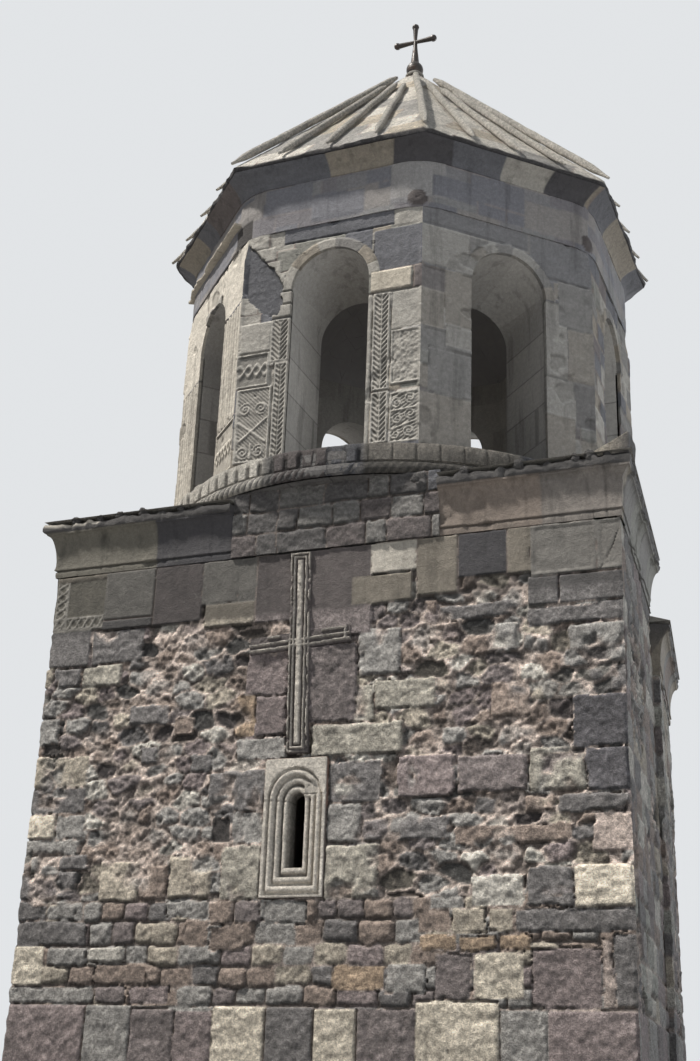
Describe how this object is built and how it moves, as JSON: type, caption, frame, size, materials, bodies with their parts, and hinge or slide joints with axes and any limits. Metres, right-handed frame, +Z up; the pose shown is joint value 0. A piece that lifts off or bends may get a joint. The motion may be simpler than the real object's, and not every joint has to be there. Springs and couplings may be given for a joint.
{
  "type": "bell tower",
  "caption": "Stone bell tower with a square base and ground room, an octagonal belfry open through round arches, and a pyramid roof.",
  "frame": {"origin": "centre of the tower base on the ground", "axes": "+Z up, the carved front with the slit window faces -Y, +X to the right seen from the front"},
  "size_m": [6.7066, 5.9922, 14.7907],
  "materials": {
    "cornice_stone": "weathered moulded stone",
    "dark_ashlar": "weathered ashlar",
    "dark_metal": "dark painted metal, weathered",
    "drum_ashlar": "weathered mixed ashlar",
    "floor_stone": "worn stone",
    "pale_carved_stone": "carved weathered stone",
    "plastered_stone": "rough grey plaster on stone",
    "roof_stone": "weathered stone slabs",
    "rubble_walls": "weathered coursed rubble and ashlar"
  },
  "bodies": {
    "root": {"arch_back": "drum_ashlar", "arch_back_left": "drum_ashlar", "arch_back_right": "drum_ashlar", "arch_front": "drum_ashlar", "arch_front_left": "drum_ashlar", "arch_front_right": "drum_ashlar", "arch_left": "drum_ashlar", "arch_right": "drum_ashlar", "back_cornice": "cornice_stone", "back_wall_left": "rubble_walls", "back_wall_over_door": "rubble_walls", "back_wall_right": "rubble_walls", "belfry_dome": "plastered_stone", "drum_band": "drum_ashlar", "drum_base": "dark_ashlar", "drum_podium": "dark_ashlar", "finial_cross": "dark_metal", "front_left_cornice": "cornice_stone", "front_left_roof": "roof_stone", "front_right_cornice": "cornice_stone", "front_right_roof": "roof_stone", "front_wall_above_window": "rubble_walls", "front_wall_below_window": "rubble_walls", "front_wall_left": "rubble_walls", "front_wall_right": "rubble_walls", "ground_floor": "floor_stone", "ground_room_vault": "plastered_stone", "left_wall": "rubble_walls", "pier_back_left": "drum_ashlar", "pier_back_right": "drum_ashlar", "pier_front_left": "drum_ashlar", "pier_front_right": "drum_ashlar", "pier_left_back": "drum_ashlar", "pier_left_front": "drum_ashlar", "pier_right_back": "drum_ashlar", "pier_right_front": "drum_ashlar", "rear_left_roof": "roof_stone", "rear_right_roof": "roof_stone", "relief_cross": "pale_carved_stone", "right_wall": "rubble_walls", "roof": "roof_stone", "roof_cap": "roof_stone", "slit_window_frame": "pale_carved_stone"}
  },
  "joints": []
}
